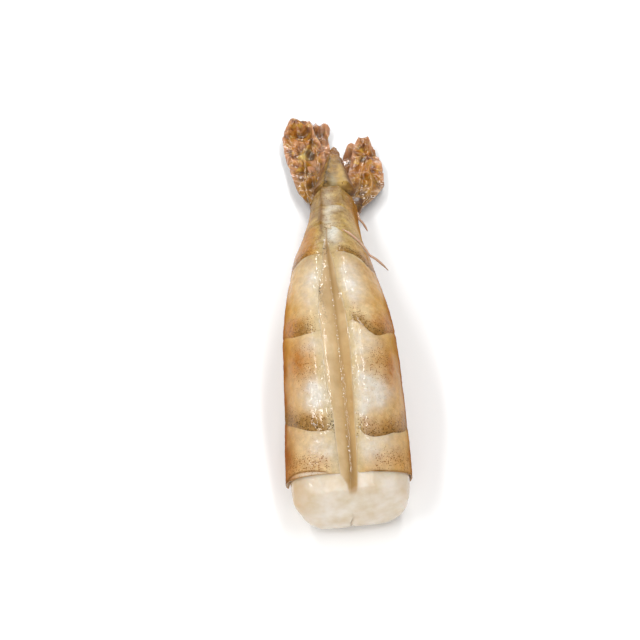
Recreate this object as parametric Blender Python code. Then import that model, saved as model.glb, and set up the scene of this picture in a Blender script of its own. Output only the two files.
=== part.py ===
"""Raw tiger prawn without its head, its shell and tail fan still on, cut open along the back, lying on its belly.

Metres, +Z up. The cut front end faces -Y, the tail fan +Y, and +X is the prawn's right side seen from the front end.
Each body shape is drawn over the stations below: the ridge of the back in side view with the section under it."""

import math

import bmesh
import bpy
import numpy as np
from mathutils import Vector

MM = 0.001
PLACE = Vector((-0.664, -70.135, -0.678))  # puts the origin under the middle of the whole

# Ridge y, ridge z, half width, half depth, lean of the section, roll of the section, shift to the side.
# Millimetres and degrees, one row for each edge of a shell.
STATIONS = (
    (0.0, 20.5, 15.6, 10.6, -4.0, 0.0, 0.0),  # front edge of the bare flesh
    (5.0, 24.5, 16.4, 12.8, 16.0, 0.0, 0.0),  # front margin of shell 1
    (15.5, 30.2, 15.9, 16.0, 33.0, 1.0, 0.0),  # shell 1 over shell 2
    (42.0, 38.5, 14.7, 14.2, 20.0, 4.0, -0.4),  # shell 2 over shell 3
    (67.0, 37.5, 10.9, 13.0, 8.0, 8.0, -0.6),  # shell 3 over shell 4
    (79.5, 32.5, 8.1, 11.2, 4.0, 11.0, 0.2),  # shell 4 over shell 5
    (92.5, 25.5, 6.3, 9.4, 0.0, 15.0, 1.2),  # shell 5 over shell 6
    (105.0, 17.5, 5.7, 7.6, -8.0, 19.0, 2.2),  # end of shell 6
)
GROOVE_DEPTH = (1.4, 2.6, 3.2, 3.2, 1.5, 0.5, 0.3, 0.0)
GAP_LEFT = (0.0, 2.8, 3.9, 5.0, 1.3, 0.6, 0.5, 0.5)  # bare flesh beside the cut, to the left shell's edge
GAP_RIGHT = (0.0, 2.6, 3.1, 4.0, 1.6, 0.6, 0.5, 0.5)
GROOVE_WIDTH = 2.5
SHELL = 0.4  # thickness of the shell
CLEAR = 0.34  # air between two layers
LIP = 3.4  # length over which a shell's rear edge rises over the next shell
TUCK = 2.2  # how far the next shell runs in under that edge
ROUND_END = 3.4  # rounding of the cut end
PLEURON = (131.0, 141.0, 143.0, 140.0, 134.0, 134.0)  # lower edge of each shell, degrees from the ridge
HANG = 100.0  # below this angle a shell's sides hang free

bpy.ops.object.select_all(action="DESELECT")
for startup in list(bpy.data.objects):
    bpy.data.objects.remove(startup)


def smooth_curve(xs, ys):
    """A monotone cubic through the points, so that nothing swings out between two stations."""
    xs = np.array(xs, float)
    ys = np.array(ys, float)
    step = np.diff(xs)
    rise = np.diff(ys) / step
    slope = np.zeros(len(xs))
    slope[0] = rise[0]
    slope[-1] = rise[-1]
    for i in range(1, len(xs) - 1):
        if rise[i - 1] * rise[i] > 0:
            before = 2 * step[i] + step[i - 1]
            after = step[i] + 2 * step[i - 1]
            slope[i] = (before + after) / (before / rise[i - 1] + after / rise[i])

    def value(x):
        i = int(np.clip(np.searchsorted(xs, x) - 1, 0, len(xs) - 2))
        s = (x - xs[i]) / step[i]
        s = min(max(s, -0.4), 1.4)
        return (
            (2 * s**3 - 3 * s**2 + 1) * ys[i]
            + (s**3 - 2 * s**2 + s) * step[i] * slope[i]
            + (3 * s**2 - 2 * s**3) * ys[i + 1]
            + (s**3 - s**2) * step[i] * slope[i + 1]
        )

    return value


def smooth(low, high, x):
    """0 at low, 1 at high, with a soft turn between."""
    t = min(max((x - low) / (high - low), 0.0), 1.0)
    return t * t * (3 - 2 * t)


ALONG = [0.0]
for near, far in zip(STATIONS, STATIONS[1:]):
    ALONG.append(ALONG[-1] + math.hypot(far[0] - near[0], far[1] - near[1]))
EDGES = ALONG[1:-1] + [rear - TUCK for rear in ALONG[2:-1]]
GRID = [s for s in np.linspace(2.8, ALONG[-1], 43) if min(abs(s - edge) for edge in EDGES) > 0.9]
GRID = np.array(sorted(GRID + EDGES))  # the sections that flesh and shells share
RIDGE_Y, RIDGE_Z, HALF_WIDTH, HALF_DEPTH, LEAN, ROLL, ASIDE = (
    smooth_curve(ALONG, [row[k] for row in STATIONS]) for k in range(7)
)
GROOVE = smooth_curve(ALONG, GROOVE_DEPTH)
GAPS = {-1: smooth_curve(ALONG, GAP_LEFT), 1: smooth_curve(ALONG, GAP_RIGHT)}


def radius(s, degrees, lift=0.0, squarer=0.0):
    """Distance of the skin from the section's centre: rounder above, squarer below."""
    a = math.radians(degrees)
    power = 2.4 - 0.15 * math.cos(a) + squarer
    wide = HALF_WIDTH(s) + lift
    deep = HALF_DEPTH(s) + lift
    return (abs(math.sin(a) / wide) ** power + abs(math.cos(a) / deep) ** power) ** (-1 / power)


def at(s, x, h):
    """World place of a point x across and h up from the centre of the section at s."""
    deep = HALF_DEPTH(s)
    roll = math.radians(ROLL(s))
    lean = math.radians(LEAN(s))
    across = ASIDE(s) + x * math.cos(roll) - h * math.sin(roll)
    up = x * math.sin(roll) + h * math.cos(roll)
    y = RIDGE_Y(s) + deep * math.sin(lean) - up * math.sin(lean)
    z = RIDGE_Z(s) - deep * math.cos(lean) + up * math.cos(lean)
    return Vector((across, y, z))


def pressed(s, h):
    """The belly is pressed flat by the body's own weight."""
    deep = HALF_DEPTH(s)
    fall = -h / deep
    if fall > 0.64:
        h = -deep * (0.64 + 0.24 * math.tanh((fall - 0.64) / 0.24))
    return h


def skin(s, degrees, lift=0.0):
    r = radius(s, degrees, lift)
    a = math.radians(degrees)
    return at(s, r * math.sin(a), pressed(s, r * math.cos(a)))


def plate(s, degrees, lift):
    """The skin for a shell: past the widest place its sides hang free instead of turning in under the belly."""
    turn = abs(degrees) - HANG
    if turn <= 0:
        return skin(s, degrees, lift)
    side = math.copysign(1.0, degrees)
    a = math.radians(HANG)
    r = radius(s, HANG, lift)
    drop = math.radians(turn) * r
    h = r * math.cos(a) - 0.96 * drop
    hanging = r * math.sin(a) - 0.06 * drop - 0.02 * drop * drop
    deep = min(-h / (HALF_DEPTH(s) + lift), 0.99)
    touching = (HALF_WIDTH(s) + lift) * (1.0 - deep**2.5) ** 0.4 + 0.15
    return at(s, side * max(hanging, touching), h)


def flat_grid(columns, rows):
    """A flat grid with one unit a cell, so that each point's x and y are its column and its row."""
    bm = bmesh.new()
    bmesh.ops.create_grid(bm, x_segments=columns, y_segments=rows, size=0.5)
    bmesh.ops.translate(bm, verts=bm.verts, vec=(0.5, 0.5, 0.0))
    bmesh.ops.scale(bm, verts=bm.verts, vec=(columns, rows, 1.0))
    return bm


def finish(name, bm, colour, roughness):
    """Scales the shape to metres, splits its quads alike and makes it an object with its own material."""
    bmesh.ops.translate(bm, verts=bm.verts, vec=PLACE)
    bmesh.ops.scale(bm, verts=bm.verts, vec=(MM, MM, MM))
    bmesh.ops.triangulate(bm, faces=bm.faces, quad_method="FIXED")
    bmesh.ops.recalc_face_normals(bm, faces=bm.faces)
    for face in bm.faces:
        face.smooth = True
    mesh = bpy.data.meshes.new(name)
    bm.to_mesh(mesh)
    bm.free()
    material = bpy.data.materials.new(name + "_material")
    material.use_nodes = True
    shader = material.node_tree.nodes["Principled BSDF"]
    shader.inputs["Base Color"].default_value = (*colour, 1.0)
    shader.inputs["Roughness"].default_value = roughness
    shader.inputs["Metallic"].default_value = 0.0
    mesh.materials.append(material)
    obj = bpy.data.objects.new(name, mesh)
    bpy.context.scene.collection.objects.link(obj)
    return obj


def tube(turns, rows, place):
    """A grid rolled up by place(turn, row), its long edges joined and its two ends closed to a point."""
    bm = flat_grid(turns, rows)
    for vert in bm.verts:
        vert.co = place(round(vert.co.x) % turns, round(vert.co.y))
    bmesh.ops.remove_doubles(bm, verts=bm.verts, dist=0.0005)
    ends = bmesh.ops.holes_fill(bm, edges=[edge for edge in bm.edges if edge.is_boundary])["faces"]
    bmesh.ops.poke(bm, faces=ends)
    return bm


def sheet(columns, rows, place):
    """A grid extruded once, its two faces laid out by place(column, row, outer)."""
    bm = flat_grid(columns, rows)
    made = bmesh.ops.extrude_face_region(bm, geom=list(bm.faces), use_keep_orig=True)
    raised = [item for item in made["geom"] if isinstance(item, bmesh.types.BMVert)]
    bmesh.ops.translate(bm, verts=raised, vec=(0.0, 0.0, 1.0))
    for vert in bm.verts:
        vert.co = place(round(vert.co.x), round(vert.co.y), vert.co.z > 0.5)
    return bm


# Flesh: one body from the cut end to the end of shell 6, with the cut's groove along its back.
FRONT = -0.2
NOTCH = 1.6  # the two lobes part a little under the cut end too
END = ALONG[-1] - 0.6
FLESH_TURNS = 34
flesh_rows = []
for step in (0.06, 0.18, 0.36, 0.60, 0.85):
    flesh_rows.append((FRONT + ROUND_END * step, (1.0 - (1.0 - step) ** 3.0) ** (1 / 3.0)))
flesh_rows += [(s, 1.0) for s in GRID[(GRID >= FRONT + ROUND_END) & (GRID < END - 1.5)]]
flesh_rows += [(END - 0.8, 0.93), (END, 0.72)]


def flesh_point(turn, row):
    s, shrink = flesh_rows[row]
    degrees = 360.0 * turn / FLESH_TURNS - 180.0
    # More points on the back, where the groove is.
    degrees -= 22.0 * math.sin(math.radians(degrees))
    r = radius(s, degrees, 0.0, 1.3 * smooth(6.0, 0.0, s) * smooth(60.0, 110.0, abs(degrees)))
    a = math.radians(degrees)
    x = r * math.sin(a)
    h = r * math.cos(a)
    if h > 0:
        h -= GROOVE(s) * math.exp(-((x / GROOVE_WIDTH) ** 2))
    else:
        h += NOTCH * max(0.0, 1.0 - abs(s) / 4.0) * math.exp(-((x / 1.3) ** 2))
    # The cut end draws in towards the belly, and its left lobe reaches a little further.
    fall = min(max(0.45 - h / HALF_DEPTH(s), 0.0) / 1.35, 1.0)
    x *= shrink * (1.0 - (0.27 if x < 0 else 0.05) * fall * smooth(11.0, 1.0, s))
    point = at(s, x, pressed(s, h) * shrink)
    point.y += 0.05 * x * smooth(6.5, 0.0, s)
    return point


finish("flesh", tube(FLESH_TURNS, len(flesh_rows) - 1, flesh_point), (0.69, 0.58, 0.44), 0.42)


# Shells: thin plates over the flesh, each one's rear edge riding over the next one.
def shell_plate(name, number, first, last, columns):
    """first and last give the plate's edge angles at a place along the body."""
    front = ALONG[number] - (TUCK if number > 1 else 0.0)
    rear = ALONG[number + 1]
    middle = [s for s in GRID if front + 0.1 < s < rear - LIP - 0.4]
    stops = [front] + middle + [rear - LIP, rear - TUCK, rear - 1.4, rear]

    def place(column, row, outer):
        s = stops[row]
        share = (s - front) / (rear - front)
        rise = smooth(rear - LIP, rear - TUCK, s) if number < 6 else 0.0
        lift = CLEAR + rise * (SHELL + CLEAR) + (SHELL if outer else 0.0)
        begin = first(s, share)
        finish = last(s, share)
        return plate(s, begin + (finish - begin) * column / columns, lift)

    amber = 0.40 - 0.035 * number
    finish(name, sheet(columns, len(stops) - 1, place), (0.60, amber, 0.20), 0.38)


def cut_edge(side, number):
    def edge(s, share):
        gap = GAPS[side](s)
        if number == 1:
            gap *= min(1.0, 0.25 + (s - ALONG[1]) / 4.0)
        return side * max(math.degrees(gap / (HALF_DEPTH(s) + 0.4)), 1.6)

    return edge


def lower_edge(side, number):
    def edge(s, share):
        return side * (PLEURON[number - 1] - 20.0 * abs(2 * share - 1.05) ** 2.6)

    return edge


for number in (1, 2, 3, 4):
    shell_plate(f"shell_{number}_left", number, lower_edge(-1, number), cut_edge(-1, number), 10)
    shell_plate(f"shell_{number}_right", number, cut_edge(1, number), lower_edge(1, number), 10)
for number in (5, 6):
    shell_plate(f"shell_{number}", number, lower_edge(-1, number), lower_edge(1, number), 20)


# Telson: the pointed roof-shaped middle piece of the tail fan, with a keel each side of a shallow trough.
TELSON_START = Vector((2.3, 105.9, 12.8))
TELSON_END = Vector((3.7, 129.0, 6.6))
TELSON_ROWS = (0.0, 0.12, 0.27, 0.42, 0.57, 0.71, 0.83, 0.93, 1.0)


def telson_point(turn, row):
    u = TELSON_ROWS[row]
    wide = 5.2 * (1 - u) ** 0.85 + 0.6
    tall = 3.3 * (1 - u) ** 0.8 + 0.7
    a = 2 * math.pi * turn / 16 - math.pi
    x = wide * math.sin(a)
    h = tall * math.cos(a)
    if h > 0:
        keels = math.exp(-(((x / wide + 0.5) / 0.25) ** 2)) + math.exp(-(((x / wide - 0.6) / 0.25) ** 2))
        h += 0.9 * (1 - u) * keels
    else:
        h *= 0.55
    return TELSON_START.lerp(TELSON_END, u) + Vector((x, 0.35 * h, 0.94 * h))


finish("telson", tube(16, len(TELSON_ROWS) - 1, telson_point), (0.30, 0.22, 0.10), 0.40)


# Tail fan: two thin leaves each side of the telson, cupped, with a raised rib along the middle.
LEAF_THICK = 0.8
LEAVES = {  # left x, right x, y, z of each row from the root to the tip
    "uropod_left_outer": (
        (-6.4, -1.8, 109.9, 5.4),
        (-8.6, -1.7, 113.4, 5.9),
        (-9.8, -1.4, 118.0, 5.8),
        (-10.8, -1.0, 123.5, 5.2),
        (-12.0, -1.2, 129.5, 5.2),
        (-12.2, -1.6, 134.0, 5.8),
        (-11.2, -2.6, 138.0, 6.6),
        (-9.4, -5.4, 141.2, 7.4),
    ),
    "uropod_left_inner": (
        (-2.9, 0.4, 110.0, 2.8),
        (-3.4, 1.6, 114.5, 3.0),
        (-4.0, 2.4, 120.0, 3.2),
        (-5.0, 3.2, 126.0, 3.4),
        (-5.6, 2.8, 131.0, 3.6),
        (-5.8, 2.4, 135.5, 3.9),
        (-5.6, 3.2, 139.0, 4.3),
        (-4.4, 1.6, 141.6, 4.5),
    ),
    "uropod_right_outer": (
        (8.6, 15.2, 109.9, 4.9),
        (9.1, 17.6, 112.6, 5.3),
        (9.2, 18.8, 116.5, 5.2),
        (9.2, 18.8, 121.0, 4.7),
        (9.4, 17.8, 126.5, 4.7),
        (10.2, 16.2, 130.5, 5.3),
        (12.0, 14.8, 133.4, 6.1),
    ),
    "uropod_right_inner": (
        (3.8, 8.6, 109.9, 2.4),
        (4.0, 10.4, 115.0, 2.6),
        (4.4, 11.4, 121.0, 2.6),
        (5.6, 12.2, 126.5, 2.7),
        (7.6, 12.8, 131.0, 3.1),
        (9.6, 12.6, 133.6, 3.6),
    ),
}
LEAF_COLUMNS, LEAF_ROWS = 8, 15
for name, rows in LEAVES.items():
    shares = np.linspace(0.0, 1.0, len(rows))
    left_x, right_x, leaf_y, leaf_z = (smooth_curve(shares, [row[k] for row in rows]) for k in range(4))

    def leaf_point(column, row, outer):
        u = column / LEAF_COLUMNS
        w = row / LEAF_ROWS
        cup = 1.1 * (2 * u - 1) ** 2 * (1 - 0.6 * w) - 0.9 * math.sin(math.pi * w)
        rib = 0.6 * math.exp(-(((u - 0.45) / 0.14) ** 2)) * (1 - 0.7 * w)
        z = leaf_z(w) + cup + rib + (LEAF_THICK / 2 if outer else -LEAF_THICK / 2)
        return Vector((left_x(w) + (right_x(w) - left_x(w)) * u, leaf_y(w), z))

    finish(name, sheet(LEAF_COLUMNS, LEAF_ROWS, leaf_point), (0.37, 0.17, 0.07), 0.35)


def limb(name, root, tip, wide, thick, sag, colour, rows=7, turns=8):
    """A flattened tapering limb from root to tip, bowed down by sag."""
    root = Vector(root)
    tip = Vector(tip)
    run = tip - root
    across = run.cross(Vector((0.0, 0.0, 1.0))).normalized()
    normal = across.cross(run).normalized()

    def place(turn, row):
        u = row / rows
        a = 2 * math.pi * turn / turns
        full = math.sin(math.pi * (0.16 + 0.76 * u) ** 0.8) ** 0.5
        middle = root + run * u - normal * (sag * math.sin(math.pi * u))
        return middle + across * (wide * full * math.cos(a)) + normal * (thick * full * math.sin(a))

    finish(name, tube(turns, rows, place), colour, 0.40)


# Fan bases: a short stout joint each side of the tail that carries the two leaves.
limb("uropod_left_base", (-2.4, 104.6, 4.0), (-4.6, 109.2, 4.2), 3.1, 1.8, 0.0, (0.42, 0.28, 0.13), 4)
limb("uropod_right_base", (7.0, 104.6, 4.0), (10.6, 109.2, 4.2), 3.5, 1.8, 0.0, (0.42, 0.28, 0.13), 4)

# Swimmerets: five pairs of flat legs, folded back under the belly.
SWIMMERETS = (  # root along the body, root aside, length back, tip z, half width
    (19.0, 7.2, 18.0, 1.5, 3.1),
    (36.0, 7.0, 19.0, 1.5, 3.0),
    (54.0, 6.4, 19.0, 1.5, 2.8),
    (73.0, 5.6, 17.0, 1.5, 2.5),
    (90.0, 4.2, 13.0, 1.4, 2.0),
)
for number, (start, aside, back, tip_z, wide) in enumerate(SWIMMERETS, 1):
    for side, word in ((-1, "left"), (1, "right")):
        belly = skin(start, 180.0)
        root = (side * aside + 0.3 * number, belly.y, belly.z - 2.0)
        tip = (side * (aside + 0.6) + 0.3 * number, belly.y + back, tip_z)
        limb(f"swimmeret_{number}_{word}", root, tip, wide, 1.5, 0.2, (0.48, 0.27, 0.13), 6)


# Threads: two fine feelers that lie along the right side of shells 4 to 6, each with its end free.
def thread(name, places, thick, turns=6):
    def place(turn, row):
        before = places[max(row - 1, 0)]
        after = places[min(row + 1, len(places) - 1)]
        run = (after - before).normalized()
        across = run.cross(Vector((0.0, 0.0, 1.0))).normalized()
        normal = across.cross(run)
        fine = thick * (0.55 if row in (0, len(places) - 1) else 1.0)
        a = 2 * math.pi * turn / turns
        return places[row] + across * (fine * math.cos(a)) + normal * (fine * math.sin(a))

    finish(name, tube(turns, len(places) - 1, place), (0.62, 0.42, 0.28), 0.35)


def draped(start, end, turn_start, turn_end, lift, count):
    """Places on the skin from one angle to another."""
    places = []
    for k in range(count):
        u = k / (count - 1)
        places.append(skin(start + (end - start) * u, turn_start + (turn_end - turn_start) * u, lift))
    return places


long_thread = draped(ALONG[5] - 3.0, ALONG[4] + 2.0, 22.0, 64.0, 1.75, 7)
LONG_END = ((1.7, -1.1, -0.6), (3.5, -2.3, -1.7), (5.2, -3.3, -3.4))
long_thread += [long_thread[-1] + Vector(step) for step in LONG_END]
thread("thread_long", long_thread, 0.32)
short_thread = draped(ALONG[6] + 3.0, ALONG[6] + 0.2, 84.0, 92.0, 1.9, 3)
SHORT_END = ((1.2, -1.4, -0.8), (2.4, -3.2, -2.2))
short_thread += [short_thread[-1] + Vector(step) for step in SHORT_END]
thread("thread_short", short_thread, 0.30)
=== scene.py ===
import math
from functools import lru_cache

import bmesh
import bpy
from mathutils import Matrix, Vector, noise


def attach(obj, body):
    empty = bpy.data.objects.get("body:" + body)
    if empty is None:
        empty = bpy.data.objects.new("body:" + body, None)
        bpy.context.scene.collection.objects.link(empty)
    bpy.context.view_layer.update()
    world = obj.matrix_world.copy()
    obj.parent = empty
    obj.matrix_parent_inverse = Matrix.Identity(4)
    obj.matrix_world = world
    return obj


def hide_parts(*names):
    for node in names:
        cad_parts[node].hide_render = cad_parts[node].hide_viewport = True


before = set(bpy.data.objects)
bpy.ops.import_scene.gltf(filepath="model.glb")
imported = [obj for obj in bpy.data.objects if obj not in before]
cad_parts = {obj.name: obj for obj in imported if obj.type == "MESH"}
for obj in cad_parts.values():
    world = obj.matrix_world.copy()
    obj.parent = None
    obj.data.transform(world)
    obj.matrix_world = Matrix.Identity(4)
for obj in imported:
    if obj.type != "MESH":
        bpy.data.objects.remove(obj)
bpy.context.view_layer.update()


# Flesh: one muscle from the cut front end to the tail, slit along the back with a knife. It is raw,
# wet and a little see-through. The shell is still on it, so only the front end and the slit show.
MM = 0.001
# Moves the prawn so that the frame's origin lies under its middle, in millimetres.
PLACE = Vector((-0.664, -70.135, -0.678))
# Ridge y, ridge z, half width, half depth, lean, roll, shift aside, in millimetres and degrees
STATIONS = (
    (0.0, 20.5, 15.6, 10.6, -4.0, 0.0, 0.0),
    (5.0, 24.5, 16.4, 12.8, 16.0, 0.0, 0.0),
    (15.5, 30.2, 15.9, 16.0, 33.0, 1.0, 0.0),
    (42.0, 38.5, 14.7, 14.2, 20.0, 4.0, -0.4),
    (67.0, 37.5, 10.9, 13.0, 8.0, 8.0, -0.6),
    (79.5, 32.5, 8.1, 11.2, 4.0, 11.0, 0.2),
    (92.5, 25.5, 6.3, 9.4, 0.0, 15.0, 1.2),
    (105.0, 17.5, 5.7, 7.6, -8.0, 19.0, 2.2),
)
CREASE_X = -0.25  # the slit's crease runs a little left of the ridge
# Where the belly starts to press flat and over how much, as shares of the half depth.
FLAT_FROM, FLAT_BAND = 0.64, 0.24
FLESH_MARKS = ("strip", "right_wall", "crease_shade", "edge", "stain", "bubble_glints")


def smooth_curve(points):
    """A monotone cubic through (x, y) points."""
    xs = [float(p[0]) for p in points]
    ys = [float(p[1]) for p in points]
    step = [b - a for a, b in zip(xs, xs[1:])]
    rise = [(b - a) / d for a, b, d in zip(ys, ys[1:], step)]
    slope = [rise[0]] + [0] * (len(xs) - 2) + [rise[-1]]
    for i in range(1, len(xs) - 1):
        if rise[i - 1] * rise[i] > 0:
            before = 2 * step[i] + step[i - 1]
            after = step[i] + 2 * step[i - 1]
            slope[i] = (before + after) / (before / rise[i - 1] + after / rise[i])

    def value(x):
        i = 0
        while i < len(xs) - 2 and x > xs[i + 1]:
            i += 1
        s = min(max((x - xs[i]) / step[i], -0.4), 1.4)
        return (
            (2 * s**3 - 3 * s**2 + 1) * ys[i]
            + (s**3 - 2 * s**2 + s) * step[i] * slope[i]
            + (3 * s**2 - 2 * s**3) * ys[i + 1]
            + (s**3 - s**2) * step[i] * slope[i + 1]
        )

    return value


def smooth(low, high, x):
    """0 at low, 1 at high, with a soft turn between."""
    t = min(max((x - low) / (high - low), 0), 1)
    return t * t * (3 - 2 * t)


def hump(x, middle, width):
    """1 at the middle, falling softly to 0 on both sides."""
    return math.exp(-(((x - middle) / width) ** 2))


ALONG = [0]
for near, far in zip(STATIONS, STATIONS[1:]):
    ALONG.append(ALONG[-1] + math.hypot(far[0] - near[0], far[1] - near[1]))
body_curves = [smooth_curve([(a, row[k]) for a, row in zip(ALONG, STATIONS)]) for k in range(7)]
groove_depth = smooth_curve(list(zip(ALONG, (1.4, 2.6, 3.2, 3.2, 1.5, 0.5, 0.3, 0))))
# Where the slit's two sides run: place along the body, degrees from the ridge.
slit_left = smooth_curve(
    (
        (1, 4), (3.5, 5), (5, 9), (7, 13), (18.5, 12.5), (32, 16.5),
        (45, 18), (52, 17.5), (59, 15.5), (66, 8), (73, 5), (78, 1.4), (86, 0.8),
    )
)
slit_right = smooth_curve(
    (
        (1, 6), (3.5, 7), (7, 7.5), (18, 7.5), (32, 9.5), (43, 11.5),
        (51, 11), (60, 7), (66, 6), (73, 3), (78, 1), (86, 0.8),
    )
)


@lru_cache(maxsize=4096)
def section(s):
    """The station's measures at a place along the body."""
    return tuple(curve(s) for curve in body_curves)


def radius(s, degrees, lift=0, squarer=0):
    """Distance of the skin from the section's middle: rounder above, squarer below."""
    a = math.radians(degrees)
    power = 2.4 - 0.15 * math.cos(a) + squarer
    wide = section(s)[2] + lift
    deep = section(s)[3] + lift
    return (abs(math.sin(a) / wide) ** power + abs(math.cos(a) / deep) ** power) ** (-1 / power)


def at(s, x, h):
    """Place of a point x across and h up from the middle of the section at s."""
    ridge_y, ridge_z, wide, deep, lean, roll, aside = section(s)
    lean = math.radians(lean)
    roll = math.radians(roll)
    across = aside + x * math.cos(roll) - h * math.sin(roll)
    up = x * math.sin(roll) + h * math.cos(roll)
    return Vector((across, ridge_y + (deep - up) * math.sin(lean), ridge_z - (deep - up) * math.cos(lean)))


def pressed(s, h):
    """The belly is pressed flat by the body's own weight."""
    deep = section(s)[3]
    fall = -h / deep
    if fall > FLAT_FROM:
        h = -deep * (FLAT_FROM + FLAT_BAND * math.tanh((fall - FLAT_FROM) / FLAT_BAND))
    return h


def groove(s, x):
    """Depth of the slit's hollow: a soft valley with a sharp crease along its middle."""
    off = x - CREASE_X
    return groove_depth(s) * (0.50 * hump(off, 0, 3.2) + 0.14 * math.exp(-abs(off) / 0.6))


def skin(s, degrees, lift=0):
    """The body's surface, uneven and hollowed along the slit."""
    r = radius(s, degrees, lift)
    a = math.radians(degrees)
    x = r * math.sin(a)
    h = r * math.cos(a)
    if h > 0:
        h -= groove(s, x)
    return at(s, x, pressed(s, h))


def lumps(point):
    """Slow unevenness that the flesh and the shells on it share."""
    return 0.20 * noise.noise(point * 0.12) + 0.07 * noise.noise(point * 0.42)


def hex_colour(code):
    """An sRGB hex colour as linear values."""
    shares = [int(code[i : i + 2], 16) / 255 for i in (1, 3, 5)]
    return tuple(c / 12.92 if c <= 0.04045 else ((c + 0.055) / 1.055) ** 2.4 for c in shares) + (1,)


def add_node(tree, kind, inputs=(), **settings):
    """Adds a shader node with its settings. inputs maps a socket to a value, a hex colour or an output.

    A Mix of colours takes its share at socket 0 and the colours at 6 and 7, and gives them at output 2.
    A MapRange takes the limits it maps from at 1 and 2, and those it maps to at 3 and 4.
    """
    made = tree.nodes.new("ShaderNode" + kind)
    for name, value in settings.items():
        setattr(made, name, value)
    for socket, value in dict(inputs).items():
        if isinstance(value, bpy.types.NodeSocket):
            tree.links.new(value, made.inputs[socket])
        else:
            made.inputs[socket].default_value = hex_colour(value) if isinstance(value, str) else value
    return made


def new_grid(columns, rows):
    """A flat grid whose points run from 0 to 1 both ways, to be laid over the body."""
    bm = bmesh.new()
    middle = Matrix.Translation((0.5, 0.5, 0))
    bmesh.ops.create_grid(bm, x_segments=columns, y_segments=rows, size=0.5, matrix=middle)
    for face in bm.faces:
        face.smooth = True
    return bm


def close_tube(bm):
    """Joins the two long edges of a rolled grid, fills its open ends and turns its faces out."""
    bmesh.ops.remove_doubles(bm, verts=bm.verts, dist=0.0005)
    bmesh.ops.holes_fill(bm, edges=[e for e in bm.edges if e.is_boundary])
    bmesh.ops.recalc_face_normals(bm, faces=bm.faces)


def finish_piece(name, bm, material, nodes):
    for vert in bm.verts:
        vert.co = (vert.co + PLACE) * MM
    mesh = bpy.data.meshes.new(name)
    bm.to_mesh(mesh)
    bm.free()
    mesh.materials.append(material)
    piece = bpy.data.objects.new(name, mesh)
    bpy.context.scene.collection.objects.link(piece)
    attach(piece, "root")
    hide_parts(*nodes)


def new_material(name):
    """An empty material and its node tree."""
    material = bpy.data.materials.new(name)
    material.use_nodes = True
    material.node_tree.nodes.clear()
    return material, material.node_tree


# Raw prawn muscle: cream, cloudy and translucent, with a water film that gives sharp small glints.
flesh_material, tree = new_material("raw_wet_flesh")
place = add_node(tree, "TexCoord").outputs["Object"]
strip, right_wall, crease_shade, edge, stain, bubble_glints = (
    add_node(tree, "Attribute", attribute_name=name).outputs["Fac"] for name in FLESH_MARKS
)
# A scale counts per metre: 230 gives clouds about 4 mm wide, 900 fibres and beads of about 1 mm.
cloud = add_node(tree, "TexNoise", {"Vector": place, "Scale": 230, "Detail": 4}).outputs["Fac"]
cloud = add_node(tree, "MapRange", {"Value": cloud, 1: 0.32, 2: 0.68}).outputs[0]
stretched = add_node(tree, "Mapping", {"Vector": place, "Scale": (1, 0.22, 1)}).outputs[0]
fibre = add_node(tree, "TexNoise", {"Vector": stretched, "Scale": 900, "Detail": 3}).outputs["Fac"]
tones = []
for first, second in (("#e0d5c6", "#cfbb9b"), ("#cfb48b", "#b99c6f"), ("#c09c63", "#ab854d")):
    tones.append(add_node(tree, "Mix", {0: cloud, 6: first, 7: second}, data_type="RGBA").outputs[2])
white, left_tone, right_tone = tones
white = add_node(tree, "Mix", {0: edge, 6: white, 7: "#c09a62"}, data_type="RGBA").outputs[2]
wall = add_node(tree, "Mix", {0: right_wall, 6: left_tone, 7: right_tone}, data_type="RGBA").outputs[2]
colour = add_node(tree, "Mix", {0: strip, 6: white, 7: wall}, data_type="RGBA").outputs[2]
specks = add_node(tree, "TexVoronoi", {"Vector": place, "Scale": 1900}).outputs["Distance"]
specks = add_node(tree, "MapRange", {"Value": specks, 1: 0.62, 2: 0.30}).outputs[0]
specks = add_node(tree, "Math", {0: specks, 1: stain}, operation="MULTIPLY").outputs[0]
# Tiny bubbles of the water film stand along the crease; their glints are painted as near-white dots.
bubble_glint_dots = add_node(tree, "TexVoronoi", {"Vector": place, "Scale": 1500}).outputs["Distance"]
bubble_glint_dots = add_node(tree, "MapRange", {"Value": bubble_glint_dots, 1: 0.34, 2: 0.22}).outputs[0]
bubble_glint_dots = add_node(tree, "Math", {0: bubble_glint_dots, 1: bubble_glints}, operation="MULTIPLY").outputs[0]
# Painted shade darkens the crease, dark specks stain the flesh, and painted glints dot the bubbles along
# the crease.
for share, code in ((crease_shade, "#94703a"), (specks, "#4f4430"), (bubble_glint_dots, "#fffaf0")):
    colour = add_node(tree, "Mix", {0: share, 6: colour, 7: code}, data_type="RGBA").outputs[2]
beads = add_node(tree, "TexNoise", {"Vector": place, "Scale": 900, "Detail": 2}).outputs["Fac"]
grain = add_node(tree, "Math", {0: fibre, 1: 0.35, 2: cloud}, operation="MULTIPLY_ADD").outputs[0]
relief = add_node(tree, "Bump", {"Height": grain, "Strength": 0.3, "Distance": 0.0003}).outputs[0]
film = add_node(tree, "Bump", {"Height": beads, "Strength": 0.5, "Distance": 0.00012, "Normal": relief})
surface = {
    "Base Color": colour,
    "Roughness": 0.42,
    "IOR": 1.38,
    "Subsurface Weight": 0.35,
    "Subsurface Radius": (1, 0.62, 0.36),
    "Subsurface Scale": 0.0022,
    "Coat Weight": 0.8,
    "Coat Roughness": 0.07,
    "Coat IOR": 1.45,
    "Normal": relief,
    "Coat Normal": film.outputs[0],
}
shader = add_node(tree, "BsdfPrincipled", surface)
add_node(tree, "OutputMaterial", {"Surface": shader.outputs[0]})

FRONT = -0.2  # where the cut end starts along the body
ROUND_END = 3.4  # how far behind it the end's edge is rounded
NOTCH = 1.6  # the two lobes part a little under the cut end
ROWS, TURNS = 250, 230
END_ROWS = 34  # rows of the mesh on the rounded end
END = ALONG[-1] - 0.6

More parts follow.
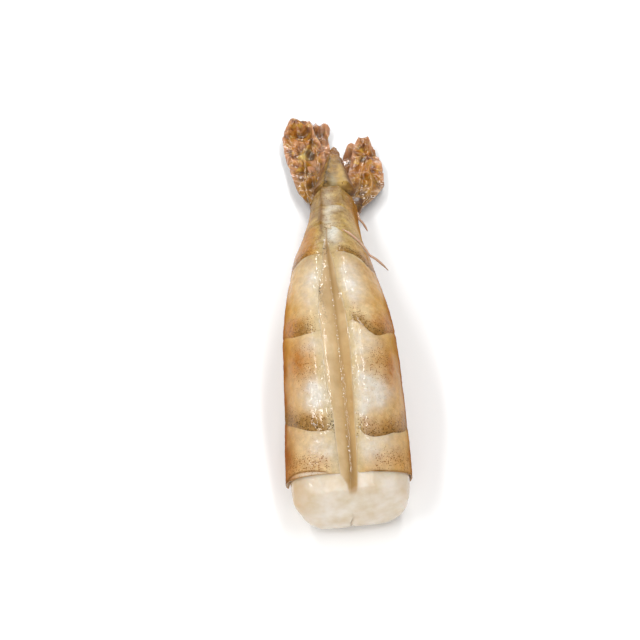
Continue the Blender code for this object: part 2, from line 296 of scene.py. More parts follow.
bm = new_grid(TURNS, ROWS)
layers = {key: bm.verts.layers.float.new(key) for key in FLESH_MARKS}
for vert in bm.verts:
    turn, share = vert.co.x, vert.co.y
    row = round(share * ROWS)
    step = 1
    if row < END_ROWS:
        step = max((row / END_ROWS) ** 2.3, 2e-5)
        s = FRONT + ROUND_END * step
    else:
        s = FRONT + ROUND_END + (END - FRONT - ROUND_END) * (row - END_ROWS) / (ROWS - END_ROWS)
    shrink = (1 - (1 - step) ** 3) ** (1 / 3)
    if END - s < 1:
        shrink = 1 - 0.4 * (1 - (END - s)) ** 2
    degrees = 360 * turn - 180
    degrees -= 36 * math.sin(math.radians(degrees))
    a = math.radians(degrees)
    lift = lumps(skin(s, degrees))
    r = radius(s, degrees, lift, 1.3 * smooth(6, 0, s) * smooth(60, 110, abs(degrees)))
    x = r * math.sin(a)
    h = r * math.cos(a)
    if h > 0:
        h -= groove(s, x)
    else:
        h += NOTCH * max(0, 1 - abs(s) / 4) * hump(x, 0, 1.3)
    # The cut end draws in towards the belly, and its left lobe reaches a little further.
    fall = min(max(0.45 - h / section(s)[3], 0) / 1.35, 1)
    x *= shrink * (1 - (0.27 if x < 0 else 0.05) * fall * smooth(11, 1, s))
    point = at(s, x, pressed(s, h) * shrink)
    point.y += 0.05 * x * smooth(6.5, 0, s)
    # The crack between the two lobes of the cut end wanders.
    crack = smooth(4, 1.5, s) * hump(x, 0.15 + 0.3 * math.sin(0.8 * point.z), 0.26)
    crack *= smooth(14, 8, point.z)
    point += Vector((0, 0.35 * crack * (1 - step), 0))
    bare = smooth(7, 4, s) * min(1, shrink)
    uneven = (0.28 * noise.noise(point * 0.2) + 0.10 * noise.noise(point * 0.6)) * bare
    vert.co = point + (point - at(s, 0, 0)).normalized() * uneven
    left_edge = -slit_left(max(s, 1)) * smooth(-0.4, 1.6, s)
    right_edge = slit_right(max(s, 1)) * smooth(-0.4, 1.6, s)
    inside = smooth(left_edge - 2, left_edge + 1.5, degrees)
    inside *= smooth(right_edge + 2, right_edge - 1.5, degrees)
    vert[layers["strip"]] = inside * smooth(0.4, 3, s)
    vert[layers["right_wall"]] = smooth(-2.6, 0.8, x - CREASE_X) * (1 - 0.65 * smooth(30, 54, s))
    # Painted shade: the crease line, the narrow upper slit, the V bottom near the front and the crack
    # between the lobes are darkened.
    line = hump(x, 0.15, 0.55) * smooth(2, 8, s)
    bottom = hump(x, 0.3, 1.2) * smooth(26, 6, s) * smooth(0.8, 3, s)
    upper = 0.35 * inside * smooth(48, 60, s)
    dark_crack = 0.6 * crack * hump(point.z, 6.5, 4)
    vert[layers["crease_shade"]] = min(0.5 * line + upper + 0.75 * bottom + dark_crack, 1)
    sides = 0.7 * smooth(-9, -16.5, x) + 0.3 * smooth(10, 16.5, x)
    vert[layers["edge"]] = max(sides, smooth(104, 107, s))
    # Painted glints of the water film's bubbles, in a thin line along the crease.
    vert[layers["bubble_glints"]] = 0.9 * hump(x, -0.3, 0.22) * smooth(6, 10, s) * smooth(66, 56, s)
    trail = hump(degrees, -16 + 0.52 * (59 - s), 3) * smooth(46, 50, s) * smooth(61, 58.5, s)
    blot = hump(s, 58.6, 1) * hump(degrees, -14.5, 2.6)
    opening = hump(s, 73, 2.2) * hump(degrees, -4, 4)
    vert[layers["stain"]] = min(0.35 * trail + 1.3 * blot + opening, 1)
close_tube(bm)
finish_piece("flesh_muscle", bm, flesh_material, ["flesh"])


# Shell: six thin plates of wet chitin, each one's rear edge lying over the next. The knife cut the
# first four into halves. Their colours imitate the flesh under them, with a painted soft highlight on their
# upper parts, a painted sheen on the tail and painted shade under each plate's edge, and dark dots band
# their edges.
SHELL = 0.22  # how thick a plate is, in millimetres
TUCKED = 2.2  # how much of a plate lies under the one before it, in millimetres
HANG = 100  # degrees from the ridge where a plate's sides start to hang free
# How far each plate's rear edge wanders from its station: degrees from the ridge, millimetres.
rear_shift = {
    1: smooth_curve(
        (
            (-76, 0.7), (-56, 0.2), (-44, -0.3), (-34, -0.8), (-23, -0.8), (-12, 0.0),
            (10, -0.4), (16, -2.2), (25, -3.0), (36, -2.8), (46, -2.4), (55, -2.6), (80, -1.8),
        )
    ),
    2: smooth_curve(
        (
            (-66, -1.1), (-48, -2.0), (-29, -1.6), (-16, -0.6), (14, 1.8),
            (26, 0), (34, -2.4), (42, -3.3), (58, -2.1), (80, -1),
        )
    ),
    3: smooth_curve(
        (
            (-60, -1.6), (-44, -1.1), (-29, -0.2), (-10, 0.0), (10, 0.0),
            (25, -0.6), (43, -2.1), (55, -4.0), (80, -4.6),
        )
    ),
    4: smooth_curve(((-60, -1), (-4, 2), (10, 0), (24, -3.4), (50, -4.4), (80, -4.4))),
    5: smooth_curve(((-60, -1), (-6, -0.3), (30, -1), (64, -1.9))),
    6: smooth_curve(((-60, -0.4), (0, 1.7), (60, -0.4))),
}
# Each plate's belly edge, in degrees from the ridge.
BELLY_EDGE = (131, 141, 143, 140, 134, 134)
MARKS = (
    "amber", "deep", "band", "smudge", "olive", "pale",
    "line", "speckle", "painted_sheen", "dull", "left_side", "right_side",
)


def plate(s, degrees, lift):
    """The skin for a shell: past the widest place its sides hang free, not turned in under the belly."""
    turn = abs(degrees) - HANG
    if turn <= 0:
        return skin(s, degrees, lift)
    side = math.copysign(1, degrees)
    a = math.radians(HANG)
    r = radius(s, HANG, lift)
    drop = math.radians(turn) * r
    h = r * math.cos(a) - 0.96 * drop
    hanging = r * math.sin(a) - 0.06 * drop - 0.02 * drop * drop
    deep = min(-h / (section(s)[3] + lift), 0.99)
    touching = (section(s)[2] + lift) * (1 - deep**2.5) ** 0.4 + 0.15
    return at(s, side * max(hanging, touching), h)


# Wet chitin: thin, horn-coloured and translucent, dotted with dark pigment, and glossy with a water
# film. The dots are 0.1 to 0.4 mm across, near the size of the real ones.
shell_material, tree = new_material("wet_chitin_shell")
place = add_node(tree, "TexCoord").outputs["Object"]
amber, deep, band, smudge, olive, pale, line, speckle, painted_sheen, dull, left_side, right_side = (
    add_node(tree, "Attribute", attribute_name=name).outputs["Fac"] for name in MARKS
)
cloud = add_node(tree, "TexNoise", {"Vector": place, "Scale": 190, "Detail": 6, "Roughness": 0.66})
cloud = add_node(tree, "MapRange", {"Value": cloud.outputs["Fac"], 1: 0.38, 2: 0.62}).outputs[0]
fine = add_node(tree, "TexNoise", {"Vector": place, "Scale": 800, "Detail": 4}).outputs["Fac"]
patchy = add_node(tree, "MapRange", {"Value": fine, 1: 0.3, 2: 0.7, 3: 0.55, 4: 1}).outputs[0]
tones = []
for first, second in (("#d6b687", "#bb8d4c"), ("#bd9d5a", "#87652a")):
    tones.append(add_node(tree, "Mix", {0: cloud, 6: first, 7: second}, data_type="RGBA").outputs[2])
base, tail_tone = tones
# The whitish patches are the flesh showing through, with a painted soft highlight on the upper parts.
whitish = add_node(tree, "Math", {0: cloud, 1: 0.75, 2: 0.45}, operation="MULTIPLY_ADD").outputs[0]
whitish = add_node(tree, "Math", {0: whitish, 1: pale}, operation="MULTIPLY", use_clamp=True).outputs[0]
blotched = []
for share in (smudge, band):
    blotched.append(add_node(tree, "Math", {0: share, 1: patchy}, operation="MULTIPLY").outputs[0])
base = add_node(tree, "Mix", {0: olive, 6: base, 7: tail_tone}, data_type="RGBA").outputs[2]
for share, code in (
    # Whitish patches: the flesh showing through, with a painted soft highlight.
    (whitish, "#dccfc0"),
    (amber, "#c68f40"),
    (deep, "#8b4708"),
    # A pale grey-blue painted sheen: the bright room reflected on the tail's top.
    (painted_sheen, "#d9d2c4"),
    (blotched[0], "#a9651f"),
    (blotched[1], "#86602a"),
    (left_side, "#d2b88f"),
    (right_side, "#d0b07c"),
):
    base = add_node(tree, "Mix", {0: share, 6: base, 7: code}, data_type="RGBA").outputs[2]
# Each 0.4 mm cell of the pattern holds one dot, and its own random value sets that dot's size.
cells = add_node(tree, "TexVoronoi", {"Vector": place, "Scale": 2450})
chance = add_node(tree, "SeparateColor", {"Color": cells.outputs["Color"]}).outputs[0]
reach = add_node(tree, "Math", {0: chance, 1: 0.40, 2: 0.13}, operation="MULTIPLY_ADD").outputs[0]
reach = add_node(tree, "Math", {0: reach, 1: speckle}, operation="MULTIPLY").outputs[0]
dots = add_node(tree, "Math", {0: cells.outputs["Distance"], 1: reach}, operation="SUBTRACT").outputs[0]
dots = add_node(tree, "MapRange", {"Value": dots, 1: 0.05, 2: -0.10, 4: 0.85}).outputs[0]
dot_tone = add_node(tree, "Mix", {0: band, 6: "#80501f", 7: "#3d2c12"}, data_type="RGBA").outputs[2]
for share, tone in ((dots, dot_tone), (line, "#6b471c")):
    base = add_node(tree, "Mix", {0: share, 6: base, 7: tone}, data_type="RGBA").outputs[2]
# Fine mottling, as cloudy as the real shell's.
mottle = add_node(tree, "TexNoise", {"Vector": place, "Scale": 520, "Detail": 5, "Roughness": 0.7})
mottle = add_node(tree, "MapRange", {"Value": mottle.outputs["Fac"], 1: 0.36, 2: 0.64, 3: 0.89, 4: 1.12})
base = add_node(tree, "HueSaturation", {"Color": base, "Value": mottle.outputs[0]}).outputs[0]
dimple = add_node(tree, "TexNoise", {"Vector": place, "Scale": 380, "Detail": 2}).outputs["Fac"]
beads = add_node(tree, "TexNoise", {"Vector": place, "Scale": 850, "Detail": 2}).outputs["Fac"]
relief = add_node(tree, "Bump", {"Height": dimple, "Strength": 0.4, "Distance": 0.0003}).outputs[0]
drier = add_node(tree, "Math", {0: deep, 1: dull}, operation="ADD").outputs[0]
wet = add_node(tree, "MapRange", {"Value": drier, 1: 0, 2: 0.7, 3: 0.9, 4: 0.06}).outputs[0]
broken = add_node(tree, "Math", {0: whitish, 1: olive}, operation="ADD").outputs[0]
rough_film = add_node(tree, "MapRange", {"Value": broken, 1: 0.2, 2: 0.9, 3: 0.4, 4: 1}).outputs[0]
film_relief = {"Height": beads, "Strength": rough_film, "Distance": 0.00016, "Normal": relief}
film = add_node(tree, "Bump", film_relief)
surface = {
    "Base Color": base,
    "Roughness": 0.48,
    "IOR": 1.3,
    "Subsurface Weight": 0.22,
    "Subsurface Radius": (1, 0.55, 0.28),
    "Subsurface Scale": 0.0016,
    "Specular IOR Level": 0,
    "Coat Weight": wet,
    "Coat Roughness": 0.06,
    "Coat IOR": 1.45,
    "Normal": relief,
    "Coat Normal": film.outputs[0],
}
shader = add_node(tree, "BsdfPrincipled", surface)
add_node(tree, "OutputMaterial", {"Surface": shader.outputs[0]})


def new_sheet(columns, rows):
    """A flat grid extruded once: z is 0 on its underside and 1 on its top."""
    bm = new_grid(columns, rows)
    made = bmesh.ops.extrude_face_region(bm, geom=list(bm.faces), use_keep_orig=True)
    raised = [item for item in made["geom"] if isinstance(item, bmesh.types.BMVert)]
    bmesh.ops.translate(bm, verts=raised, vec=(0, 0, 1))
    # The thin rim is shaded on its own, so that it doesn't darken the surface beside it.
    for face in bm.faces:
        face.smooth = len({vert.co.z for vert in face.verts}) == 1
    return bm


def shell_marks(number, s, degrees, start, point):
    """Where the pigments, painted soft highlights, painted sheen and painted shade lie, on a slightly
    warped skin, so that no border is straight.

    Places are millimetres along the body and degrees from the ridge.
    """
    warped = s + 0.8 * noise.noise(point * 0.3) + 0.4 * noise.noise(point * 0.9)
    turned = degrees + 3.5 * noise.noise(point * 0.22 + Vector((7, 0, 0)))
    behind = warped - start - TUCKED
    edge_near = max(s - start - TUCKED, 0)
    left = degrees < 0
    reach = abs(turned)
    marks = dict.fromkeys(MARKS, 0)
    # The left side turns to deep amber sooner than the right one.
    marks["amber"] = smooth(26, 70, reach) * (0.55 if number == 1 else 1 if left else 0.85)
    marks["deep"] = smooth(50, 80, reach) if left else smooth(58, 84, reach)
    marks["deep"] *= (0.9 + 0.3 * noise.noise(point * 0.2)) * (1 - 0.45 * smooth(96, 130, reach))
    marks["speckle"] = 0.30 + 0.20 * noise.noise(point * 0.2)
    if number == 1:
        below_band = hump(warped, 9.2, 2.4)
        marks["speckle"] += 0.95 * below_band * smooth(16, 30, reach)
        marks["smudge"] = 0.32 * below_band * smooth(14, 32, reach)
        # The pale mark is the flesh showing through, with a painted soft highlight near the top.
        marks["pale"] = 0.8 * hump(warped, 13.5, 5) * smooth(78, 20, reach)
        off = s - start
        if left:
            # The plate's front margin is curled up: a pale lens between two thin brown lines.
            across = min(max((abs(degrees) - 24) / 50, 0), 1)
            bow = math.sin(math.pi * across) ** 0.8
            marks["line"] = 0.75 * hump(off, bow + 0.25, 0.26) * smooth(22, 30, abs(degrees))
            marks["line"] += 0.5 * hump(off, 0, 0.22) * smooth(14, 26, abs(degrees))
            marks["pale"] = max(marks["pale"], smooth(0, 0.3, off) * smooth(bow + 0.2, bow - 0.1, off))
        else:
            marks["line"] = (0.6 + 0.4 * hump(turned, 32, 8)) * hump(off, 0.1, 0.35) * smooth(12, 26, reach)
    elif number == 2:
        deep = 5.6 + 1.4 * smooth(30, 70, reach)
        dark = smooth(deep, 2.2, behind)
        marks["band"] = dark * (0.85 if left else 0.5) * smooth(7, 12, reach)
        marks["band"] += 0.5 * smooth(2.4, 0.2, edge_near)
        marks["smudge"] = 0.45 * dark * (0.4 if left else 1) * smooth(8, 16, reach)
        marks["speckle"] += 0.85 * smooth(deep + 1.8, 1, behind) * smooth(7, 12, reach)
        marks["smudge"] += hump(warped, 33.5, 5) * hump(turned, 52, 12)
        marks["smudge"] += 0.95 * hump(warped, 36.5, 5) * hump(turned, -46, 15)
        marks["speckle"] += 0.7 * hump(warped, 35, 6) * hump(reach, 40, 18)
        # Pale patches: the flesh showing through, with a painted soft highlight.
        marks["pale"] = 1.2 * hump(warped, 27.5, 4.5) * smooth(72, 30, reach)
        marks["pale"] += 0.7 * hump(warped, 41, 4) * smooth(60, 20, reach) + 0.6 * hump(turned, 12, 10)
    elif number == 3:
        at_left = hump(turned, -38, 13)
        at_right = smooth(12, 18, turned) * smooth(64, 46, turned)
        marks["band"] = at_left * smooth(6.5, 1.5, behind) if left else at_right * smooth(4.6, 1, behind)
        outward = smooth(-30, -50, turned) if left else smooth(30, 46, turned)
        marks["smudge"] = 0.9 * smooth(9, 3, behind) * outward
        outward = smooth(-16, -30, turned) if left else smooth(12, 22, turned)
        marks["speckle"] += 0.9 * smooth(9, 2, behind) * outward
        # Pale patches: the flesh showing through, with a painted soft highlight.
        marks["pale"] = hump(warped, 60, 8) * smooth(56, 15, reach)
    elif number == 4:
        outward = 0.9 * smooth(-14, -34, turned) if left else smooth(8, 16, turned)
        marks["band"] = smooth(4, 0.6, behind) * outward
        marks["smudge"] = 0.6 * smooth(7, 1, behind) * smooth(26, 56, reach)
        marks["smudge"] += 0.7 * smooth(-6, -28, turned)
        marks["amber"] = max(marks["amber"], 0.6 * smooth(-4, -26, turned))
        marks["speckle"] += 0.8 * smooth(5.5, 0, behind) * smooth(6, 16, reach)
        # Painted sheen: a pale grey-blue reflection on the top of the tail.
        marks["painted_sheen"] = 0.95 * hump(warped, 81, 6.5) * hump(turned, 9, 10)
    elif number == 5:
        marks["band"] = 0.45 * smooth(3.4, 0.4, behind) * smooth(16, 34, turned)
        marks["smudge"] = 0.6 * smooth(12, 40, -turned)
        # Painted sheen on the top of the tail.
        marks["painted_sheen"] = 0.5 * hump(turned, 5, 8) * smooth(99, 94, warped)
        marks["painted_sheen"] += 0.5 * hump(warped, 97, 2.5) * hump(turned, 14, 14)
        marks["speckle"] += 0.3 * smooth(5, 0, behind)
    else:
        marks["band"] = 0.8 * smooth(6, 22, -turned)
        marks["band"] += 0.55 * smooth(16, 24, turned) * smooth(100, 103, warped)
        marks["band"] = max(marks["band"], 0.35 * smooth(106.5, 108.5, s))
        marks["smudge"] = 0.5 * smooth(34, 60, turned)
        # Painted sheen on the top of the tail.
        marks["painted_sheen"] = 0.3 * hump(turned, 5, 9)
        marks["speckle"] += 0.35
    marks["dull"] = 0.55 * (smooth(18, 14, s) + hump(warped, 41, 4) + hump(warped, 54, 4))
    marks["dull"] += 0.42 * smooth(68, 82, s)
    marks["olive"] = smooth(60, 80, s)
    marks["amber"] *= 1 - 0.25 * marks["olive"]
    marks["deep"] *= 1 - 0.45 * marks["olive"]
    keel = hump(degrees, -7 + 3 * noise.noise(point * 0.5), 4.2) * smooth(74, 84, s)
    marks["band"] += 0.9 * keel
    marks["line"] += 0.6 * keel**3
    marks["speckle"] += keel + 0.45 * smooth(66, 80, s)
    # A thin dark line of painted shade lies just under the rear edge of the plate before.
    if number > 1:
        marks["line"] += 0.30 * hump(s - start, 2.1, 0.25)
    return marks


def shell_piece(number, begin, finish, columns, rows):
    """begin and finish give the plate's edge angles at a place along the body."""
    bm = new_sheet(columns, rows)
    layers = {key: bm.verts.layers.float.new(key) for key in MARKS}
    front = ALONG[number] - (TUCKED if number > 1 else 0)
    rear = ALONG[number + 1]
    for vert in bm.verts:
        u, w, outer = vert.co.x, vert.co.y, vert.co.z > 0.5
        s = front + (rear - front) * w
        first = begin(s, w)
        last = finish(s, w)
        degrees = first + (last - first) * u
        start = front + (rear_shift[number - 1](degrees) if number > 1 else 0)
        stop = rear + rear_shift[number](degrees)
        s = start + (stop - start) * w
        tuck = smooth(start + 3.4, start + 1.2, s) if number > 1 else 0
        rise = smooth(stop - 3, stop - 0.8, s) if number < 6 else 0
        inner_edge = last if first < -90 else first
        to_slit = abs(degrees - inner_edge) * math.pi / 180 * section(s)[3] if number < 5 else 9
        # The plate lies close along the slit and thins out at its free edges.
        close = hump(to_slit, 0, 1.6)
        lift = (0.30 - 0.22 * tuck + 0.05 * rise) * (1 - 1.15 * close)
        lift -= 0.25 * smooth(stop - 2.5, stop, s) if number == 6 else 0
        thick = SHELL * (1 - 0.75 * close) * (1 - 0.7 * smooth(stop - 1, stop, s))
        if number == 1:
            lift += 0.30 * hump(s - start, 0.9, 1) * hump(degrees, -52, 20)
        point = plate(s, degrees, 0)
        ridge = hump(degrees, -6, 4.5) * (0.4 * smooth(78, 88, s) + 0.4 * smooth(96, 106, s))
        ridge += hump(degrees, 28, 9) * 0.7 * smooth(90, 106, s)
        lift += lumps(point) + ridge * (1 - tuck) + 0.20 * smooth(40, 80, abs(degrees))
        lift += 0.07 * noise.noise(point * 0.8 + Vector((0, 0, number))) * (1 - tuck)
        vert.co = plate(s, degrees, lift + (thick if outer else 0))
        if outer:
            marks = shell_marks(number, s, degrees, start, point)
            beside = "left_side" if degrees < 0 else "right_side"
            marks[beside] = 0.85 * smooth(78, 66, s) * hump(to_slit, 0, 1.5)
            for key, value in marks.items():
                vert[layers[key]] = min(max(value, 0), 1)
    bmesh.ops.recalc_face_normals(bm, faces=bm.faces)
    return bm


def slit_edge(side):
    """The angle of a half plate's edge beside the slit."""
    def edge(s, share):
        return -slit_left(max(s, 4)) if side < 0 else slit_right(max(s, 4))

    return edge


def belly_edge(side, number):
    """The angle of a plate's edge at the belly, drawn in at its corners."""
    def edge(s, share):
        return side * (BELLY_EDGE[number - 1] - 20 * abs(2 * share - 1.05) ** 2.6)

    return edge


for number in (1, 2, 3, 4):
    rows = 120 if number in (2, 3) else 80
    bm = shell_piece(number, belly_edge(-1, number), slit_edge(-1), 110, rows)
    finish_piece(f"shell_{number}_left_half", bm, shell_material, [f"shell_{number}_left"])
    bm = shell_piece(number, slit_edge(1), belly_edge(1, number), 110, rows)
    finish_piece(f"shell_{number}_right_half", bm, shell_material, [f"shell_{number}_right"])
for number in (5, 6):
    bm = shell_piece(number, belly_edge(-1, number), belly_edge(1, number), 180, 80)
    finish_piece(f"shell_{number}_plate", bm, shell_material, [f"shell_{number}"])


# Telson: the pointed, roof-shaped middle piece of the tail fan, hinged to the last shell. It is stiff
# chitin with a keel each side of a shallow trough, and its tip is creased.
TELSON_START = Vector((2.3, 105.9, 12.8))
TELSON_END = Vector((3.7, 129, 6.6))
TAIL_MARKS = ("keel", "telson_sheen", "tip", "ridge", "flank")

# Chitin of the tail: thicker and greener than the body's, with pink and olive clouds and dark dots.
tail_material, tree = new_material("olive_tail_chitin")
place = add_node(tree, "TexCoord").outputs["Object"]
keel, telson_sheen, tip, ridge, flank = (
    add_node(tree, "Attribute", attribute_name=name).outputs["Fac"] for name in TAIL_MARKS
)
cloud = add_node(tree, "TexNoise", {"Vector": place, "Scale": 380, "Detail": 5}).outputs["Fac"]
cloud = add_node(tree, "MapRange", {"Value": cloud, 1: 0.36, 2: 0.64}).outputs[0]
tones = []
for first, second in (("#a9823f", "#7a5822"), ("#a87c4c", "#80542a"), ("#845a2a", "#603a15")):
    tones.append(add_node(tree, "Mix", {0: cloud, 6: first, 7: second}, data_type="RGBA").outputs[2])
base, pink, brown = tones
# The ridges are yellow, and a grey-blue painted sheen lies on the top near the root.
for share, code in ((ridge, "#c4a25a"), (telson_sheen, "#9f9676")):
    base = add_node(tree, "Mix", {0: share, 6: base, 7: code}, data_type="RGBA").outputs[2]
base = add_node(tree, "Mix", {0: flank, 6: base, 7: brown}, data_type="RGBA").outputs[2]
base = add_node(tree, "Mix", {0: tip, 6: base, 7: pink}, data_type="RGBA").outputs[2]
cells = add_node(tree, "TexVoronoi", {"Vector": place, "Scale": 1900})
chance = add_node(tree, "SeparateColor", {"Color": cells.outputs["Color"]}).outputs[0]
reach = add_node(tree, "Math", {0: keel, 1: 0.7, 2: 0.3}, operation="MULTIPLY_ADD").outputs[0]
reach = add_node(tree, "Math", {0: reach, 1: chance}, operation="MULTIPLY").outputs[0]
dots = add_node(tree, "Math", {0: cells.outputs["Distance"], 1: reach}, operation="SUBTRACT").outputs[0]
dots = add_node(tree, "MapRange", {"Value": dots, 1: 0.08, 2: -0.04, 4: 0.85}).outputs[0]
for share, code in ((keel, "#6d5528"), (dots, "#3c2c14")):
    base = add_node(tree, "Mix", {0: share, 6: base, 7: code}, data_type="RGBA").outputs[2]
crumple = add_node(tree, "TexNoise", {"Vector": place, "Scale": 700, "Detail": 4}).outputs["Fac"]
relief = add_node(tree, "Bump", {"Height": crumple, "Strength": 0.6, "Distance": 0.0005}).outputs[0]
surface = {
    "Base Color": base,
    "Roughness": 0.4,
    "IOR": 1.45,
    "Subsurface Weight": 0.15,
    "Subsurface Radius": (1, 0.6, 0.3),
    "Subsurface Scale": 0.001,
    "Specular IOR Level": 0.1,
    "Coat Weight": 0.5,
    "Coat Roughness": 0.08,
    "Coat IOR": 1.33,
    "Normal": relief,
    "Coat Normal": relief,
}
shader = add_node(tree, "BsdfPrincipled", surface)
add_node(tree, "OutputMaterial", {"Surface": shader.outputs[0]})

bm = new_grid(140, 110)
layers = {key: bm.verts.layers.float.new(key) for key in TAIL_MARKS}
for vert in bm.verts:
    a = 2 * math.pi * vert.co.x - math.pi
    u = vert.co.y
    wide = 6.1 * max(1 - u, 0) ** 0.95 + 0.6
    tall = 3.6 * max(1 - u, 0) ** 0.8 + 0.7
    closing = 0.85 + 0.15 * smooth(0, 0.03, u)
    x = wide * math.sin(a) * closing
    h = tall * math.cos(a) * closing
    share = x / wide
    left_keel = hump(share, -0.42, 0.18)
    right_keel = hump(share, 0.58, 0.22)
    if h > 0:
        h += (1 - u) * (0.9 * left_keel + 0.8 * right_keel - 0.45 * hump(share, 0.05, 0.3))
    else:
        h *= 0.55
    point = TELSON_START.lerp(TELSON_END, u) + Vector((x, 0.35 * h, 0.94 * h))
    creased = smooth(0.55, 0.85, u)
    folds = 1 - 2.2 * abs(noise.noise(Vector((point.x * 0.55, point.y * 0.22, 3))))
    rough = 0.10 * noise.noise(point * 0.35) + 0.16 * folds * smooth(0.1, 0.5, u)
    rough += creased * (0.45 * noise.noise(point * 0.7) + 0.25 * noise.noise(point * 1.9))
    vert.co = point + Vector((math.sin(a), 0, math.cos(a))) * rough
    above = 1 if math.cos(a) > 0 else 0
    wobble = share + 0.10 * noise.noise(point * 0.45)
    vert[layers["keel"]] = above * 0.8 * hump(wobble, -0.42, 0.10) * (1 - creased)
    band = hump(wobble, 0.38, 0.18) + 0.7 * hump(wobble, -0.2, 0.25) * smooth(0.35, 0.55, u)
    vert[layers["ridge"]] = 0.7 * min(above * band * smooth(0.65, 0.4, u), 1)
    # Painted sheen: a grey-blue patch on the top near the root.
    vert[layers["telson_sheen"]] = above * hump(wobble, -0.05, 0.25) * smooth(0.40, 0.10, u) * 0.6
    side = smooth(0.60, 0.80, abs(wobble)) + 0.6 * smooth(0.35, 0.6, u) * smooth(0.1, 0.5, wobble)
    vert[layers["flank"]] = min(side, 1) * (1 - creased)
    vert[layers["tip"]] = creased
close_tube(bm)
finish_piece("telson_roof", bm, tail_material, ["telson"])


# Tail fan blades: two thin leaves each side of the telson, on a short jointed base. Out of the water
# they have crumpled, so their ribs stand up and their soft fringe is torn; their oil-gold glints are
# painted in.
LEAVES = {
    # left x, right x, y, z of each row from the root to the tip
    "uropod_left_outer": (
        (-4.2, -1.6, 106.8, 5.0),
        (-8.0, -1.7, 112.2, 5.8),
        (-9.8, -1.4, 118.0, 5.8),
        (-10.8, -1.0, 123.5, 5.2),
        (-12.0, -1.2, 129.5, 5.2),
        (-12.2, -1.6, 134.0, 5.8),
        (-11.2, -2.6, 138.0, 6.6),
        (-9.4, -5.4, 141.2, 7.4),
    ),
    "uropod_left_inner": (
        (-2.9, 0.4, 110.0, 2.8),
        (-3.4, 1.6, 114.5, 3.0),
        (-4.0, 2.4, 120.0, 3.2),
        (-5.0, 3.2, 126.0, 3.4),
        (-5.6, 2.8, 131.0, 3.6),
        (-5.8, 2.4, 135.5, 3.9),
        (-5.6, 3.2, 139.0, 4.3),
        (-4.4, 1.6, 141.6, 4.5),
    ),
    "uropod_right_outer": (
        (8.0, 11.4, 106.4, 4.8),
        (9.0, 17.0, 112.0, 5.2),
        (9.2, 18.8, 116.5, 5.2),
        (9.2, 18.8, 121.0, 4.7),
        (9.4, 17.8, 126.5, 4.7),
        (10.2, 16.2, 130.5, 5.3),
        (12.0, 14.8, 133.4, 6.1),
    ),
    "uropod_right_inner": (
        (3.8, 8.6, 109.9, 2.4),
        (4.0, 10.4, 115.0, 2.6),
        (4.4, 11.4, 121.0, 2.6),
        (5.6, 12.2, 126.5, 2.7),
        (7.6, 12.8, 131.0, 3.1),
        (9.6, 12.6, 133.6, 3.6),
    ),
}
# The pale struts that stiffen each leaf: place across its root and its middle, as shares of its width.
STRUTS = {
    "uropod_left_outer": ((0.25, 0.55), (0.55, 0.85)),
    "uropod_left_inner": ((0.45, 0.42),),
    "uropod_right_outer": ((0.20, 0.42), (0.75, 0.55)),
    "uropod_right_inner": ((0.55, 0.62), (0.15, 0.2)),
}

FAN_MARKS = ("fringe", "strut", "dark", "gold_glint", "root", "fold_shade")

# Crumpled fan chitin: orange-brown and pink, thin enough to let light through, very wet and glossy.
fan_material, tree = new_material("crumpled_fan_chitin")
place = add_node(tree, "TexCoord").outputs["Object"]
fringe, strut, dark, gold_glint, root, fold_shade = (
    add_node(tree, "Attribute", attribute_name=name).outputs["Fac"] for name in FAN_MARKS
)
shares = []
for scale, low, high in ((300, 0.40, 0.60), (380, 0.50, 0.64), (430, 0.50, 0.64)):
    clouds = {"Vector": place, "Scale": scale, "Detail": 5, "Roughness": 0.65, "Distortion": 0.4}
    clouds = add_node(tree, "TexNoise", clouds).outputs["Fac"]
    shares.append(add_node(tree, "MapRange", {"Value": clouds, 1: low, 2: high}).outputs[0])
brown, pinkish, yellow = shares
base = add_node(tree, "Mix", {0: brown, 6: "#ae6d22", 7: "#66340d"}, data_type="RGBA").outputs[2]
# The gold is a painted glint; the other colours are the leaves' own.
for share, code in (
    (yellow, "#c0923c"),
    (pinkish, "#b98252"),
    (root, "#96723a"),
    (strut, "#b88f58"),
    (fringe, "#c08e6c"),
    (dark, "#43300f"),
    (gold_glint, "#dcc478"),
):
    base = add_node(tree, "Mix", {0: share, 6: base, 7: code}, data_type="RGBA").outputs[2]
# Partly the leaves' own tone, partly painted shade in the fold valleys and painted light on the ridges.
valley_shade = add_node(tree, "MapRange", {"Value": fold_shade, 1: 0, 2: 1, 3: 0.4, 4: 1.35}).outputs[0]
base = add_node(tree, "HueSaturation", {"Color": base, "Value": valley_shade, "Saturation": 1.05}).outputs[0]
crumple = add_node(tree, "TexNoise", {"Vector": place, "Scale": 450, "Detail": 3, "Roughness": 0.5})
relief = add_node(tree, "Bump", {"Height": crumple.outputs["Fac"], "Strength": 0.8, "Distance": 0.0006})
drops = add_node(tree, "TexNoise", {"Vector": place, "Scale": 520, "Detail": 1}).outputs["Fac"]
drops = add_node(tree, "Bump", {"Height": drops, "Strength": 0.8, "Distance": 0.0004})
surface = {
    "Base Color": base,
    "Roughness": 0.35,
    "IOR": 1.45,
    "Subsurface Weight": 0.1,
    "Subsurface Radius": (1, 0.6, 0.3),
    "Subsurface Scale": 0.0008,
    "Coat Weight": 1,
    "Coat Roughness": 0.08,
    "Coat IOR": 1.5,
    "Normal": relief.outputs[0],
    "Coat Normal": drops.outputs[0],
}
shader = add_node(tree, "BsdfPrincipled", surface)
add_node(tree, "OutputMaterial", {"Surface": shader.outputs[0]})


